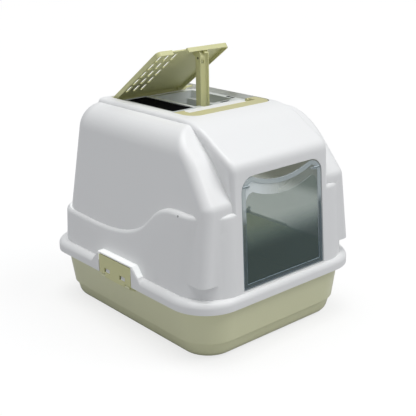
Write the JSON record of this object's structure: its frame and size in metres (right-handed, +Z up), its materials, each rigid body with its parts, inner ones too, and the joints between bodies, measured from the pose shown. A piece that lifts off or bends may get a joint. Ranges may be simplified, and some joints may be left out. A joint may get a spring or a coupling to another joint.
{
  "type": "covered litter box",
  "caption": "Hooded litter box with a swinging see-through door flap, side clips, a folding carry handle and a top lid that is propped open over a filter bay.",
  "frame": {"origin": "centre of the outline on the floor, under the pan", "axes": "+Z up, -Y out of the door, +X to the right of someone who looks at the door from behind it"},
  "size_m": [0.4108, 0.49, 0.5103],
  "materials": {
    "hood_plastic": "white, satin gloss",
    "pan_plastic": "pale sage green, satin",
    "clip_plastic": "pale sage green, satin",
    "tray_plastic": "white, satin gloss",
    "filter_felt": "dark carbon felt, matt",
    "lid_plastic": "pale sage green, satin",
    "prop_plastic": "pale sage green, satin",
    "handle_plastic": "pale sage green, satin",
    "pin_plastic": "pale sage green, satin",
    "flap_plastic": "smoky clear, polished"
  },
  "bodies": {
    "pan": {"litter_pan": "pan_plastic", "left_clip_pin": "pin_plastic", "right_clip_pin": "pin_plastic"},
    "left_clip": {"left_clip": "clip_plastic"},
    "right_clip": {"right_clip": "clip_plastic"},
    "hood": {"hood": "hood_plastic", "top_tray": "tray_plastic", "filter_pad": "filter_felt", "door_pin_left": "pin_plastic", "door_pin_right": "pin_plastic", "lid_pin_left": "pin_plastic", "lid_pin_right": "pin_plastic", "handle_pin_left": "pin_plastic", "handle_pin_right": "pin_plastic"},
    "door": {"door_flap": "flap_plastic"},
    "lid": {"lid": "lid_plastic", "prop_pin": "pin_plastic"},
    "prop": {"prop_arm": "prop_plastic"},
    "handle": {"carry_handle": "handle_plastic"}
  },
  "joints": [
    {"name": "hood_lift", "type": "slide", "parent": "pan", "child": "hood", "axis": [0, 0, 1], "range_m": [0, 0.11]},
    {"name": "left_clip_swing", "type": "hinge", "parent": "pan", "child": "left_clip", "pos_m": [-0.2022, 0.005, 0.0975], "axis": [0, -1, 0], "range_deg": [0, 95]},
    {"name": "right_clip_swing", "type": "hinge", "parent": "pan", "child": "right_clip", "pos_m": [0.2022, 0.005, 0.0975], "axis": [0, 1, 0], "range_deg": [0, 95]},
    {"name": "door_swing", "type": "hinge", "parent": "hood", "child": "door", "pos_m": [0, -0.22348, 0.30862], "axis": [1, 0, 0], "range_deg": [-75, 75]},
    {"name": "lid_swing", "type": "hinge", "parent": "hood", "child": "lid", "pos_m": [0, 0.147, 0.404], "axis": [-1, 0, 0], "range_deg": [-35, 30]},
    {"name": "prop_swing", "type": "hinge", "parent": "lid", "child": "prop", "pos_m": [0, 0.00356, 0.48856], "axis": [-1, 0, 0], "range_deg": [-55, 47.2]},
    {"name": "handle_lift", "type": "hinge", "parent": "hood", "child": "handle", "pos_m": [0, -0.046, 0.4045], "axis": [-1, 0, 0], "range_deg": [0, 90]}
  ],
  "couplings": [
    {"joint": "left_clip_swing", "follows": "hood_lift", "rad_per_m": 15},
    {"joint": "right_clip_swing", "follows": "hood_lift", "rad_per_m": 15},
    {"joint": "prop_swing", "follows": "lid_swing", "ratio": 1.5714}
  ]
}
